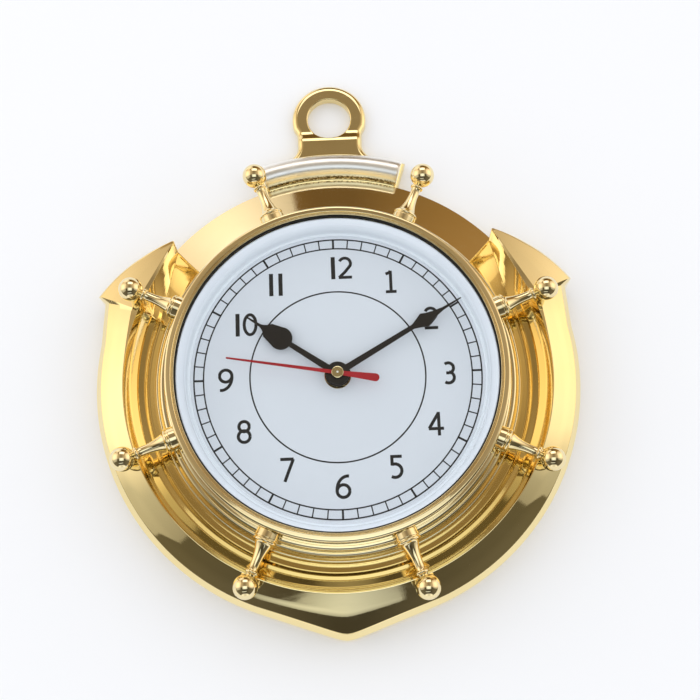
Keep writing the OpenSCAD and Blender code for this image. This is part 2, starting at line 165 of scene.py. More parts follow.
def add_loft(bm, rings, ring_closed=True, path_closed=False, pole_start=None, pole_end=None):
    """Skins a list of rings of equal length.

    An open end gets a fan to its pole, a flat cap if the pole is None, or nothing if it is False.
    """
    rows = [[bm.verts.new(p) for p in ring] for ring in rings]
    n = len(rows[0])
    last = n if ring_closed else n - 1
    pairs = list(zip(rows, rows[1:]))
    if path_closed:
        pairs.append((rows[-1], rows[0]))
    for a, b in pairs:
        for i in range(last):
            j = (i + 1) % n
            bm.faces.new((a[i], a[j], b[j], b[i]))
    for pole, end in ((pole_start, rows[0]), (pole_end, rows[-1])):
        if path_closed:
            continue
        if pole is None:
            bm.faces.new(end)
        elif pole is not False:
            tip = bm.verts.new(pole)
            for i in range(last):
                bm.faces.new((end[i], end[(i + 1) % n], tip))
    return rows


def lathe(name, profile, material, segments=360, **kw):
    """Ring turned from a closed (r, z) profile about the dial's axis."""
    bm = bmesh.new()
    rings = [[polar(p[0], 360 * i / segments, p[1]) for p in profile] for i in range(segments)]
    add_loft(bm, rings, path_closed=True)
    return finish_mesh(name, bm, material, **kw)


def add_turned(bm, profile, place, segments=96):
    """Solid of revolution from an open profile of (r, s) points that starts and ends on its axis.

    place(u, v, s) puts a point that is u, v from the axis and s along it.
    """
    rings = []
    for r, s in profile[1:-1]:
        rings.append([place(r * math.cos(TAU * i / segments), r * math.sin(TAU * i / segments), s)
                      for i in range(segments)])
    add_loft(bm, rings, pole_start=place(0, 0, profile[0][1]), pole_end=place(0, 0, profile[-1][1]))


def add_plate(bm, outline, z0, z1):
    """Flat plate between two heights from a closed outline of (x, y) points."""
    add_loft(bm, [[Vector((p[0], p[1], z0)) for p in outline], [Vector((p[0], p[1], z1)) for p in outline]])


# ---- Materials ----

class Shader:
    """A node material with a few short calls for the nodes that the materials here share."""

    def __init__(self, name, color, metallic=0.0, roughness=0.5, **values):
        self.material = bpy.data.materials.new(name)
        self.material.use_nodes = True
        self.tree = self.material.node_tree
        self.tree.nodes.clear()
        self.out = self.tree.nodes.new("ShaderNodeOutputMaterial")
        self.bsdf = self.tree.nodes.new("ShaderNodeBsdfPrincipled")
        self.link(self.bsdf, "BSDF", self.out, "Surface")
        self.bsdf.inputs["Base Color"].default_value = (*color, 1)
        self.bsdf.inputs["Metallic"].default_value = metallic
        self.bsdf.inputs["Roughness"].default_value = roughness
        for key, value in values.items():
            self.bsdf.inputs[key.replace("_", " ")].default_value = value
        self.coords = self.tree.nodes.new("ShaderNodeTexCoord")

    def link(self, a, out, b, into):
        self.tree.links.new(a.outputs[out], b.inputs[into])

    def noise(self, scale, detail=3.0, stretch=(1, 1, 1)):
        """Noise in the object's own coordinates, stretched along its axes."""
        mapping = self.tree.nodes.new("ShaderNodeMapping")
        mapping.inputs["Scale"].default_value = stretch
        self.link(self.coords, "Object", mapping, "Vector")
        node = self.tree.nodes.new("ShaderNodeTexNoise")
        node.inputs["Scale"].default_value = scale
        node.inputs["Detail"].default_value = detail
        self.link(mapping, "Vector", node, "Vector")
        return node

    def spread(self, node, low, high, out="Fac", start=0.0, end=1.0):
        """Maps a texture's value from one range to another."""
        rng = self.tree.nodes.new("ShaderNodeMapRange")
        rng.inputs["From Min"].default_value = start
        rng.inputs["From Max"].default_value = end
        rng.inputs["To Min"].default_value = low
        rng.inputs["To Max"].default_value = high
        self.link(node, out, rng, "Value")
        return rng

    def mix(self, factor, a, b):
        """Mixes two colours by a node's Result or value."""
        node = self.tree.nodes.new("ShaderNodeMix")
        node.data_type = "RGBA"
        node.inputs["A"].default_value = (*a, 1)
        node.inputs["B"].default_value = (*b, 1)
        self.tree.links.new(factor, node.inputs["Factor"])
        self.tree.links.new(node.outputs["Result"], self.bsdf.inputs["Base Color"])
        return node

    def bump(self, height, strength, distance=0.001):
        node = self.tree.nodes.new("ShaderNodeBump")
        node.inputs["Strength"].default_value = strength
        node.inputs["Distance"].default_value = distance
        self.tree.links.new(height, node.inputs["Height"])
        self.link(node, "Normal", self.bsdf, "Normal")
        return node


def polished_brass(name, light=(0.95, 0.80, 0.44), deep=(0.91, 0.74, 0.36), rough=0.035, scratch=0.02):
    """Lacquered mirror brass: slow colour drift, faint hand-polish waves and hairline scratches."""
    s = Shader(name, light, metallic=1.0, roughness=rough)
    drift = s.noise(14, 4)
    s.mix(s.spread(drift, 0, 1, start=0.3, end=0.7).outputs["Result"], light, deep)
    wear = s.noise(90, 6, (1, 1, 5))
    rough_map = s.spread(wear, rough, rough + 0.09, start=0.5, end=0.85)
    s.link(rough_map, "Result", s.bsdf, "Roughness")
    hair = s.noise(700, 2, (9, 1, 1))
    s.bump(hair.outputs["Fac"], scratch, 0.0002)
    return s.material


def brushed_stock():
    """The stock's brass: pale and lightly brushed, with speckled painted shade darkening the crease along its
    lower edge.
    """
    # The dark tone is painted shade, laid in speckles where the stock's lower edge meets the case.
    clean, shade_tone = (0.95, 0.94, 0.90), (0.22, 0.18, 0.12)
    s = Shader("stock_brass", clean, metallic=1.0)
    crease = s.tree.nodes.new("ShaderNodeAttribute")
    crease.attribute_name = "crease"
    spots = s.spread(s.noise(800, 4), 0, 1, start=0.44, end=0.56)
    # Painted shade: noise speckles weighted by the mask along the stock's lower edge.
    speckled_shade = s.tree.nodes.new("ShaderNodeMath")
    speckled_shade.operation = "MULTIPLY"
    s.link(spots, "Result", speckled_shade, 0)
    s.link(crease, "Fac", speckled_shade, 1)
    s.mix(speckled_shade.outputs["Value"], clean, shade_tone)
    s.link(s.spread(s.noise(45, 4), 0.26, 0.42, start=0.3, end=0.7), "Result", s.bsdf, "Roughness")
    brush = s.noise(260, 6)
    s.bump(brush.outputs["Fac"], 0.10, 0.0005)
    return s.material


def paint(name, color, rough, grain=300, depth=0.04, vary=0.06, **values):
    """Paint, enamel or plastic with a little colour drift and a fine surface grain."""
    s = Shader(name, color, roughness=rough, **values)
    dark = tuple(c * (1 - vary) for c in color)
    s.mix(s.spread(s.noise(25, 3), 0, 1, start=0.3, end=0.7).outputs["Result"], color, dark)
    fine = s.noise(grain, 2)
    s.link(s.spread(fine, rough * 0.85, min(rough * 1.2, 1)), "Result", s.bsdf, "Roughness")
    s.bump(fine.outputs["Fac"], depth, 0.0003)
    return s.material


def metal(name, color, rough, stretch=(1, 1, 1), depth=0.05):
    """Plain machined or plated metal with turning or rolling marks."""
    s = Shader(name, color, metallic=1.0, roughness=rough)
    marks = s.noise(350, 3, stretch)
    s.link(s.spread(marks, rough * 0.6, rough * 1.5, start=0.3, end=0.7), "Result", s.bsdf, "Roughness")
    s.bump(marks.outputs["Fac"], depth, 0.0003)
    return s.material


def clear_glass():
    """The pane's flat middle: see-through, with the reflection that glass has at each angle."""
    s = Shader("clear_glass", (1, 1, 1))
    s.tree.nodes.remove(s.bsdf)
    clear = s.tree.nodes.new("ShaderNodeBsdfTransparent")
    clear.inputs["Color"].default_value = (0.985, 0.995, 0.995, 1)
    gloss = s.tree.nodes.new("ShaderNodeBsdfGlossy")
    gloss.inputs["Roughness"].default_value = 0.0
    fresnel = s.tree.nodes.new("ShaderNodeFresnel")
    fresnel.inputs["IOR"].default_value = 1.45
    both = s.tree.nodes.new("ShaderNodeMixShader")
    side = s.tree.nodes.new("ShaderNodeNewGeometry")
    entering = s.tree.nodes.new("ShaderNodeMath")
    entering.operation = "SUBTRACT"
    entering.use_clamp = True
    s.link(fresnel, "Fac", entering, 0)
    s.link(side, "Backfacing", entering, 1)
    s.link(entering, "Value", both, "Fac")
    s.tree.links.new(clear.outputs["BSDF"], both.inputs[1])
    s.tree.links.new(gloss.outputs["BSDF"], both.inputs[2])
    s.link(both, "Shader", s.out, "Surface")
    smear = s.noise(40, 4)
    s.link(s.spread(smear, 0.0, 0.03, start=0.4, end=0.7), "Result", gloss, "Roughness")
    return s.material


def bevel_glass():
    """The pane's bevelled edge, which bends the light that passes it."""
    s = Shader("bevel_glass", (0.97, 0.99, 1.0), roughness=0.0, IOR=1.5, Transmission_Weight=1.0)
    smear = s.noise(60, 3)
    s.link(s.spread(smear, 0.0, 0.02, start=0.4, end=0.8), "Result", s.bsdf, "Roughness")
    path = s.tree.nodes.new("ShaderNodeLightPath")
    soft = s.tree.nodes.new("ShaderNodeMath")
    soft.operation = "MAXIMUM"
    s.link(path, "Is Shadow Ray", soft, 0)
    s.link(path, "Is Diffuse Ray", soft, 1)
    clear = s.tree.nodes.new("ShaderNodeBsdfTransparent")
    both = s.tree.nodes.new("ShaderNodeMixShader")
    s.link(soft, "Value", both, "Fac")
    s.tree.links.new(s.bsdf.outputs["BSDF"], both.inputs[1])
    s.tree.links.new(clear.outputs["BSDF"], both.inputs[2])
    s.link(both, "Shader", s.out, "Surface")
    return s.material


def battery_jacket():
    """Cell jacket: dark film with a copper-coloured band at one end."""
    film, copper = (0.02, 0.02, 0.025), (0.62, 0.34, 0.12)
    band_x = 0.013            # where the copper-coloured band starts, in metres
    s = Shader("battery_jacket", film)
    split = s.tree.nodes.new("ShaderNodeSeparateXYZ")
    s.link(s.coords, "Object", split, "Vector")
    band = s.spread(split, 0, 1, out="X", start=band_x - 0.0001, end=band_x + 0.0001)
    s.mix(band.outputs["Result"], film, copper)
    s.link(s.spread(s.noise(200, 2), 0.2, 0.34), "Result", s.bsdf, "Roughness")
    return s.material


BRASS = polished_brass("polished_brass")
DEEP_BRASS = polished_brass("case_brass", light=(0.97, 0.85, 0.55), deep=(0.94, 0.79, 0.45), rough=0.06)
TURNED_BRASS = polished_brass("handle_brass", light=(0.95, 0.81, 0.48), deep=(0.91, 0.75, 0.41), rough=0.03)
STOCK_BRASS = brushed_stock()
PLAIN_BRASS = metal("plain_brass", (0.80, 0.60, 0.28), 0.22, (1, 1, 6))
GLASS_CLEAR = clear_glass()
GLASS_BEVEL = bevel_glass()
DIAL_WHITE = paint("dial_white", (0.735, 0.765, 0.82), 0.45, grain=900, depth=0.01, vary=0.015)
SURROUND_WHITE = paint("surround_white", (0.87, 0.92, 0.98), 0.18, grain=400, depth=0.01, vary=0.02)
PRINT_BLACK = paint("print_black", (0.008, 0.008, 0.010), 0.5, grain=900, depth=0.01, vary=0.3)
HAND_BLACK = paint("hand_black", (0.012, 0.009, 0.008), 0.32, grain=500, depth=0.03, vary=0.3)
HAND_RED = paint("hand_red", (0.42, 0.008, 0.015), 0.3, grain=500, depth=0.03, vary=0.2)
# Black rubber for the movement's washer. On the ring inside the bezel's lip the same black is painted shade,
# standing for the shadow gap between the lip and the glass.
RUBBER_AND_GAP_SHADE = paint("rubber_and_gap_shade", (0.012, 0.012, 0.012), 0.7, grain=700, depth=0.15, vary=0.3)
BLACK_PLASTIC = paint("movement_plastic", (0.018, 0.018, 0.02), 0.42, grain=1500, depth=0.35, vary=0.2)
ACETAL = paint("ivory_acetal", (0.80, 0.76, 0.64), 0.4, grain=600, depth=0.05, vary=0.05)
BOARD = paint("board_green", (0.02, 0.13, 0.06), 0.35, grain=500, depth=0.1, vary=0.3)
MAGNET = paint("grey_magnet", (0.10, 0.10, 0.11), 0.5, grain=900, depth=0.3, vary=0.2)
COPPER = metal("copper_wire", (0.78, 0.36, 0.16), 0.3, (30, 1, 1), 0.3)
SOFT_IRON = metal("soft_iron", (0.52, 0.52, 0.53), 0.35)
NICKEL = metal("nickel_plate", (0.75, 0.74, 0.72), 0.16)
JACKET = battery_jacket()

CAD_MATERIALS = {
    "hour_hand": HAND_BLACK, "minute_hand": HAND_BLACK, "second_hand": HAND_RED, "hand_cap": TURNED_BRASS,
    # The glass_gasket ring is painted shade: its black stands for the shadow gap inside the bezel's lip.
    "glass_gasket": RUBBER_AND_GAP_SHADE, "dial_plate": DIAL_WHITE, "movement_case": BLACK_PLASTIC,
    "movement_cover": BLACK_PLASTIC, "setting_knob": BLACK_PLASTIC, "threaded_bushing": PLAIN_BRASS,
    "centre_nut": HAND_BLACK, "dial_washer": PLAIN_BRASS, "rubber_washer": RUBBER_AND_GAP_SHADE, "coil": COPPER,
    "stator": SOFT_IRON, "circuit_board": BOARD, "quartz_can": NICKEL, "rotor": MAGNET,
    "third_wheel": ACETAL, "seconds_wheel": ACETAL, "centre_wheel": ACETAL, "motion_wheel": ACETAL,
    "hour_wheel": ACETAL, "battery": JACKET, "contact_plus": NICKEL, "contact_minus": NICKEL,
    "body_screws": PLAIN_BRASS, "stock_screws": PLAIN_BRASS,
}
for node_name, node_material in CAD_MATERIALS.items():
    NODES[node_name].data.materials.clear()
    NODES[node_name].data.materials.append(node_material)


# ---- Anchor casting ----

ARM_IN_R = 102.4          # radius of the opening between the arms
ARM_OUT_R = 117.0         # radius of the arms' outer side
ARM_Z = CASTING_HI.z
CROWN_SOFT = 1.5          # angle over which the crown's point is rounded, in degrees
FACE_FALL = 0.5           # fall of the arms' face per millimetre of radius
SIDE_FOOT = Vector((ARM_OUT_R - 0.5, -8.0))  # the arm's outer side is straight from here to SIDE_TOP
SIDE_TOP = Vector((ARM_OUT_R - 3.2, 43.8))
BARB = Vector((CASTING_HI.x, 47.5, 18.6))    # the fluke's outer point
FLUKE_TIP = Vector((79.2, 71.7, 25.5))
TIP_FOOT = Vector((79.4, 71.8, 0.0))         # where the tip's edge meets the flank, seen from the front
RUN = (FLUKE_TIP - BARB).to_2d().normalized().to_3d()    # along the fluke, from its barb to its tip
OUTWARD = Vector((RUN.y, -RUN.x, 0.0))       # square to the fluke, away from the case
TIP_HALF = 0.8            # half the thickness of the fluke at its tip
NOSE = ((0.0, 1.0), (0.35, 0.9), (0.6, 0.65), (0.75, 0.3))   # (distance past the tip, share of the thickness)
FLUKE_BULGE = 3.6         # how far the fluke's outer edge bows out
LIP_W = 2.8               # width of the rounded lip along the arms' outer edge
FACE_CROWN = 0.45         # rise of the arms' face above a straight line, before it is rounded
HOLLOW_WALL = 3.0
HOLLOW_END = 104          # angle from straight down at which the arms' hollow back ends
BEVEL_FROM, BEVEL_TO = 95, 110   # angles between which the inner edge's bevel grows
RING_IN_R = 97.0
RING_T = 3.2              # thickness of the flat ring behind the case
CREASE = Vector((88.7, 19.0))    # radius and height at which the flank leaves the mouldings
FLANK_FOOT_Z = 8.0        # height of the flank's rim
FLANK_SAG = 0.1           # how far the flank's middle lies below a straight line
FLANK_GAP = 0.12          # gap between the case's flank and the casting
RIM_R = FLANK_R + 0.5     # beyond this radius the flukes reach down to the wall
BACK_R = FLANK_R + 0.3    # inner radius of the casting's walls behind the flank's rim


def flank_z(r):
    """Height just above the case's flank at a radius. The flank sags a little below a straight line."""
    slack = 1.2               # the sag is measured square to the flank, and this is along z
    t = (r - CREASE.x) / (FLANK_R - CREASE.x)
    line = CREASE.y + (FLANK_FOOT_Z - CREASE.y) * t
    return line - FLANK_SAG * slack * 4 * t * (1 - t) + FLANK_GAP


def outer_reach(angle):
    """Radius of the arms' outer side at an angle in degrees from straight down."""
    touch = math.degrees(math.acos(ARM_OUT_R / CROWN_REACH))
    soft = math.hypot(angle, CROWN_SOFT)
    if soft < touch:
        return ARM_OUT_R / math.cos(math.radians(touch - soft))
    ray = polar(1, angle - 90).to_2d()
    if ray.y < 0:
        return ARM_OUT_R
    along = SIDE_TOP - SIDE_FOOT
    side = SIDE_FOOT.cross(along) / ray.cross(along)
    return max(ARM_OUT_R, side)


def arm_corners(angle):
    """Section of an arm at an angle from straight down, as (point, radius) corners."""
    reach = outer_reach(angle)
    up = max(0.0, (angle - BEVEL_FROM) / (BEVEL_TO - BEVEL_FROM))
    bevel = 0.35 + 2.6 * min(up, 1.0) ** 2
    face_end = ARM_Z - FACE_FALL * (reach - ARM_IN_R)
    face_mid = (ARM_IN_R + reach) / 2
    pocket_out = reach - HOLLOW_WALL
    pocket_in = FLANK_R + 2.4
    deep = [(pocket_out, 0), (pocket_out, face_end - 4), (ARM_IN_R + 1.2, ARM_Z - 4.6), (98.8, 17.6),
            (pocket_in, 8.4), (pocket_in, 0)]
    flat = [(pocket_out - (pocket_out - pocket_in) * k / 5, 0) for k in range(6)]
    pocket = flat if angle > HOLLOW_END else deep
    section = [
        ((BACK_R, 0), 0.1), ((BACK_R, FLANK_FOOT_Z + 0.3), 0.1), ((92.5, flank_z(92.5)), 0.1),
        ((94.1, 18.2), 2.6), ((96.0, 22.5), 0.25), ((96.7, 23.4), 0.4), ((100.0, 25.3), 3.4),
        ((ARM_IN_R, ARM_Z - bevel * 0.42), 0.12), ((ARM_IN_R + bevel, ARM_Z - bevel * FACE_FALL), 0.4),
        ((face_mid, ARM_Z - FACE_FALL * (face_mid - ARM_IN_R) + FACE_CROWN), 60),
        ((reach - LIP_W, face_end + FACE_FALL * LIP_W), 2.2), ((reach - 0.1, face_end - LIP_W * 0.9), 2.2),
        ((reach, 0), 0.3),
    ] + [(p, 0.2) for p in pocket]
    return [(polar(p[0], angle - 90, p[1]), r) for p, r in section]


def fluke_edge(t, past=0.0, share=1.0):
    """Point of the fluke's convex outer edge, from the barb at 0 to the tip at 1."""
    end = FLUKE_TIP + OUTWARD * TIP_HALF * share + RUN * past - Vector((0, 0, 0.4))
    return BARB.lerp(end, t) + OUTWARD * FLUKE_BULGE * 4 * t * (1 - t)


def fluke_corners(start, t, past=0.0, share=1.0):
    """Section of the fluke at t along it, blended from the arm's last section and thinned past the tip."""
    base_foot, *base_mids, base_wall, base_ridge = [c[0] for c in start[2:9]]
    radii = [c[1] for c in start]
    half = OUTWARD * TIP_HALF * share
    ahead = RUN * past
    edge = fluke_edge(t, past, share)
    wall = base_wall.lerp(FLUKE_TIP - half + ahead - Vector((0, 0, 0.7)), t)
    ridge = base_ridge.lerp(FLUKE_TIP - half * 0.5 + ahead, t)
    middle = ridge.lerp(edge, 0.5) + Vector((0, 0, FACE_CROWN * (1 - t)))
    lip = min(LIP_W, 0.45 * (edge - middle).length)
    lip_top = edge + (middle - edge).normalized() * lip * 0.5
    lip_foot = edge - Vector((0, 0, lip * 0.7))
    foot = base_foot.lerp(TIP_FOOT - half + ahead, t)
    foot.z = flank_z(foot.to_2d().length)
    drop = foot - wall
    blend = min(1.0, t * 6)
    rises = (0.18, 0.36, 0.48, 0.86)
    mids = [mid.lerp(foot - drop * rise, blend) for mid, rise in zip(base_mids, rises)]
    edge_r = edge.to_2d().length
    # Outside the case's rim the fluke's back reaches the wall, and inside it stops just above the flank.
    if edge_r > RIM_R:
        side_foot = Vector((edge.x, edge.y, 0))
        rim = edge.to_2d().normalized() * BACK_R
        under = Vector((rim.x, rim.y, FLANK_FOOT_Z + 0.1))
        back = Vector((rim.x, rim.y, 0))
    else:
        side_foot = Vector((edge.x, edge.y, flank_z(edge_r)))
        under = side_foot.lerp(foot, 0.2)
        back = side_foot.lerp(foot, 0.1)
    points = [back, under, foot, *mids, wall, ridge, middle, lip_top, lip_foot, side_foot]
    points += [side_foot.lerp(back, (k + 1) / 7) for k in range(6)]
    return list(zip(points, radii))


def add_arm(bm, side):
    """One arm with its fluke, from the crown's middle to the fluke's tip.

    side is 1 on the right and -1 on the left.
    """
    arm_n, fluke_n, fine_n = 112, 40, 1000
    end = 90 + math.degrees(math.atan2(SIDE_TOP.y, SIDE_TOP.x))
    sections = [arm_corners(end * i / arm_n) for i in range(arm_n + 1)]
    last = sections[-1]
    # One section just past the arm's end, and two where the fluke's outer edge crosses the case's rim.
    leaves_rim = next(k for k in range(fine_n) if fluke_edge(k / fine_n).to_2d().length < RIM_R) / fine_n
    extra = [0.004, leaves_rim - 0.0015, leaves_rim + 0.0005]
    steps = sorted(extra + [i / fluke_n for i in range(fluke_n)])
    sections += [fluke_corners(last, t) for t in steps]
    sections += [fluke_corners(last, 1, *nose) for nose in NOSE]
    rows = [rounded(section, steps=8) for section in sections]
    tip_past = 0.8
    tip = (FLUKE_TIP + TIP_FOOT) / 2 + RUN * tip_past
    rows = [[Vector((p.x * side, p.y, p.z)) for p in ring] for ring in rows]
    add_loft(bm, rows, pole_start=False, pole_end=Vector((tip.x * side, tip.y, tip.z)))


HEAD_R = STOCK_HI.y + 0.9       # radius of the head's upper edge
HEAD_T = STOCK_LO.z - 0.02
NECK_HALF = 16.6          # half the neck's width
HEAD_HALF = 18.2          # half the angle that the head spans
HEAD_FILLET = 8.0         # radius between the head's upper edge and the neck
EYE_HOLE_R = frame["record"]["mounts"][0]["dims"]["r_mm"]
NECK_LOW = 131.5          # the neck slopes between these two heights
NECK_HIGH = 137.5
EYE_STEP = 1.5            # how much thinner the eye is than the head


def head_outline():
    """Outer outline of the head, neck and eye, counter-clockwise from the head's lower right corner."""
    foot_y = math.sqrt((HEAD_R + HEAD_FILLET) ** 2 - (NECK_HALF + HEAD_FILLET) ** 2)
    fillet = Vector((NECK_HALF + HEAD_FILLET, foot_y))
    turn = math.degrees(math.atan2(fillet.y, fillet.x))
    right = arc(0, 0, HEAD_R, 90 - HEAD_HALF, turn, 10)
    right += arc(fillet.x, fillet.y, HEAD_FILLET, turn + 180, 180, 10)[1:]
    eye_side = arc(0, EYE_RISE, EYE_R, -14, 90, 40)
    right += [(NECK_HALF + 0.15, EYE_RISE - 9.5), (NECK_HALF + 0.55, EYE_RISE - 7.2)] + eye_side
    left = [(-x, y) for x, y in reversed(right[:-1])]
    inner = arc(0, 0, FLANK_R - 1.0, 90 + HEAD_HALF, 90 - HEAD_HALF, 24)
    return right + left + inner


def inset(outline, d):
    """The outline moved inward by d, along the mean of its edges' normals."""
    out = []
    n = len(outline)
    for i, p in enumerate(outline):
        a = Vector(p) - Vector(outline[i - 1])
        b = Vector(outline[(i + 1) % n]) - Vector(p)
        na = Vector((-a.y, a.x)).normalized()
        nb = Vector((-b.y, b.x)).normalized()
        mean = (na + nb).normalized()
        out.append(Vector(p) + mean * d / max(mean.dot(na), 0.5))
    return out


def lower_eye(bm):
    """Slopes the neck's front down to the eye, which is thinner than the head."""
    for k in range(13):
        level = NECK_LOW + (NECK_HIGH - NECK_LOW) * k / 12
        everything = bm.verts[:] + bm.edges[:] + bm.faces[:]
        bmesh.ops.bisect_plane(bm, geom=everything, plane_co=(0, level, 0), plane_no=(0, 1, 0))
    for v in bm.verts:
        t = min(1.0, max(0.0, (v.co.y - NECK_LOW) / (NECK_HIGH - NECK_LOW)))
        v.co.z -= EYE_STEP * t * t * (3 - 2 * t) * v.co.z / HEAD_T


def rim_levels(r):
    """Quarter round of radius r at the head's front, as (distance in from the outline, height) pairs."""
    turns = [math.radians(a) for a in range(0, 91, 9)]
    return [(r * (1 - math.cos(a)), HEAD_T - r + r * math.sin(a)) for a in turns]


def head_casting():
    """Head plate, neck and eye, with a rounded rim outside and round the hole."""
    bm = bmesh.new()
    outline = head_outline()
    rim = 3.0
    hole_rim = 0.7
    levels = [(0.25, 0.0), (0.0, 0.3)] + rim_levels(rim) + [(rim + 0.3, HEAD_T)]
    rings = [[Vector((p.x, p.y, z)) for p in inset(outline, d)] for d, z in levels]
    rows = add_loft(bm, rings, pole_start=False, pole_end=False)
    hole_n = 96
    hole = [(0.5, 0.0), (0.0, 0.5)] + rim_levels(hole_rim) + [(hole_rim + 0.2, HEAD_T)]
    centre = Vector((0, EYE_RISE, 0))
    hole_rings = [[centre + polar(EYE_HOLE_R + d, 360 * i / hole_n, z) for i in range(hole_n)]
                  for d, z in hole]
    hole_rows = add_loft(bm, hole_rings, pole_start=False, pole_end=False)
    for outer, inner in ((rows[0], hole_rows[0]), (rows[-1], hole_rows[-1])):
        edges = [bm.edges.get((loop[i], loop[i - 1])) for loop in (outer, inner) for i in range(len(loop))]
        bmesh.ops.triangle_fill(bm, edges=edges, use_beauty=True)
    lower_eye(bm)
    return bm


def anchor_casting():
    """The whole anchor: head with its eye, both arms with their flukes, and the flat ring behind the case."""
    bm = head_casting()
    for side in (1, -1):
        add_arm(bm, side)
    ring_out = FLANK_R + 0.6
    ring = rounded([((RING_IN_R, 0), 0.2), ((RING_IN_R, RING_T), 0.2), ((ring_out, RING_T), 0.2),
                    ((ring_out, 0), 0.2)])
    segments = 240
    rings = [[polar(p.x, 360 * i / segments, p.y) for p in ring] for i in range(segments)]
    add_loft(bm, rings, path_closed=True)
    finish_mesh("anchor_casting_brass", bm, BRASS, replaces=["anchor_casting"], slot="polished_brass")


def anchor_stock():
    """Half-round bar bent round the top of the case, with soft ends and a mask of painted shade along the
    crease at its lower edge.
    """
    bm = bmesh.new()
    bar_r = STOCK_HI.z - STOCK_LO.z
    mid_r = STOCK_HI.y - bar_r
    half = math.degrees(math.asin(STOCK_HI.x / (mid_r + bar_r))) - 0.1
    section = arc(mid_r, STOCK_LO.z, bar_r, 0, 180, 40)
    section += [(mid_r - bar_r + 2 * bar_r * k / 12, STOCK_LO.z) for k in range(1, 12)]
    rows = []
    for i in range(81):
        u = -1 + i / 40
        soft = max(0.0, (abs(u) - 0.985) / 0.015)
        shrink = 1 - 0.05 * (1 - math.sqrt(max(0.0, 1 - soft ** 2)))
        ring = [(mid_r + (p[0] - mid_r) * shrink, STOCK_LO.z + (p[1] - STOCK_LO.z) * shrink) for p in section]
        rows.append([polar(p[0], 90 - u * half, p[1]) for p in ring])
    add_loft(bm, rows)
    obj = finish_mesh("anchor_stock_brass", bm, STOCK_BRASS, replaces=["anchor_stock"], slot="polished_brass")
    crease = obj.data.attributes.new("crease", "FLOAT", "POINT")
    for i, v in enumerate(obj.data.vertices):
        x, y, z = (v.co.x - AXIS.x) / MM, (v.co.z - AXIS.z) / MM, -v.co.y / MM
        # Painted shade: full within 0.3 mm of the bar's lower edge, where it meets the case, and gone by 0.8
        # mm.
        low = (mid_r - bar_r + 0.8 - math.hypot(x, y)) / 0.5
        crease.data[i].value = min(1.0, max(0.0, low))


# ---- Porthole case ----

def porthole_body():
    """Case with two beads, a step and the flared flank, and the hollow behind the dial."""
    barrel = BEZEL_R - 2.6
    bead = 1.7
    top = 27.6                # height at which the mouldings start, under the bezel's skirt
    neck_in = 76.1            # inner radius of the neck that the bezel sits on
    neck_top = 36.5
    hollow_r = 96.5
    seat_r = 62               # inner radius of the ledge that the dial rests on
    seat_z = 25.9
    foot = RING_T + 0.02
    outside = [((neck_in, neck_top), 0.2), ((barrel, neck_top), 0.2), ((barrel, top), 0.2)]
    profile = rounded(outside + [((BEZEL_R + 0.4, top), 0.1)], closed=False)
    profile += [Vector(p) for p in arc(BEZEL_R + 0.6, top - bead, bead, 88, -58, 16)]
    profile += [Vector(p) for p in arc(BEZEL_R + 3.2, top - 2.6 * bead, bead, 86, -48, 16)]
    profile += [Vector(p) for p in arc(CREASE.x - 1.4, CREASE.y + 0.75, 0.9, 120, -20, 8)]
    flank_end = Vector((FLANK_R, FLANK_FOOT_Z))
    run = flank_end - CREASE
    sag = Vector((-run.y, run.x)).normalized() * -FLANK_SAG
    for k in range(33):
        t = k / 32
        profile.append(CREASE + run * t + sag * 4 * t * (1 - t))
    back = [((FLANK_R, foot), 0.3), ((hollow_r, foot), 0.3), ((hollow_r, 8.4), 0.8), ((86, 16.2), 1.5),
            ((82, 22), 1.5), ((seat_r, 22.8), 0.3), ((seat_r, seat_z), 0.2), ((neck_in, seat_z), 0.2)]
    profile += rounded([(flank_end, 0.3)] + back + [((neck_in, neck_top), 0.2)], closed=False)[1:-1]
    lathe("porthole_body_brass", profile, DEEP_BRASS, replaces=["porthole_body"], slot="polished_brass")


def bezel_ring():
    """Skirt and rounded lip, with a fine groove and a bead at its inner edge."""
    inner_r = 76.6
    skirt = BEZEL_R - 2.55
    seat = GLASS_TOP + 0.42
    hem = 27.8
    groove = LIP_Z - 0.75
    corners = [
        ((skirt, hem), 0.2), ((BEZEL_R - 0.5, hem), 0.1), ((BEZEL_R, hem + 0.5), 0.4),
        ((BEZEL_R, LIP_Z - 0.2), 2.3), ((inner_r + 1.5, LIP_Z), 0.5), ((inner_r + 1.25, groove), 0.15),
        ((inner_r + 0.85, groove), 0.12), ((inner_r + 0.7, groove + 0.3), 0.15),
        ((inner_r, LIP_Z - 0.5), 0.35), ((inner_r, seat), 0.1), ((skirt, seat), 0.1),
    ]
    profile = rounded(corners, steps=8)
    lathe("bezel_ring_brass", profile, TURNED_BRASS, replaces=["bezel_ring"], slot="polished_brass")


def handle_profile(foot, ball_at, ball_r):
    """Profile of a turned handle from its foot on the bezel to its ball, as (r, s) points."""
    ferrule = 5.8
    collar = foot + 5.0
    waist = collar + 12.0
    waist_r = 2.2
    neck = ball_at - ball_r - 0.6
    points = rounded([((0, foot), 0), ((ferrule - 0.2, foot), 0.15), ((ferrule, foot + 3.4), 0.35),
                      ((ferrule - 0.75, foot + 3.75), 0.1)], closed=False)[:-1]
    points += [Vector(p) for p in arc(ferrule - 0.9, collar - 0.25, 0.9, -50, 84, 10)]
    for k in range(1, 25):
        u = k / 24
        r = waist_r + (ferrule - 1.35 - waist_r) * (1 - u) ** 2.2
        points.append(Vector((r, collar + 0.9 + u * (waist - collar - 0.9))))
    points.append(Vector((waist_r + 0.02, neck - 1.9)))
    points += [Vector(p) for p in arc(waist_r + 0.02, neck - 0.7, 0.9, -78, 82, 12)]
    points += [Vector(p) for p in arc(0, ball_at, ball_r, -70, 90, 40)]
    points[-1].x = 0.0
    return points


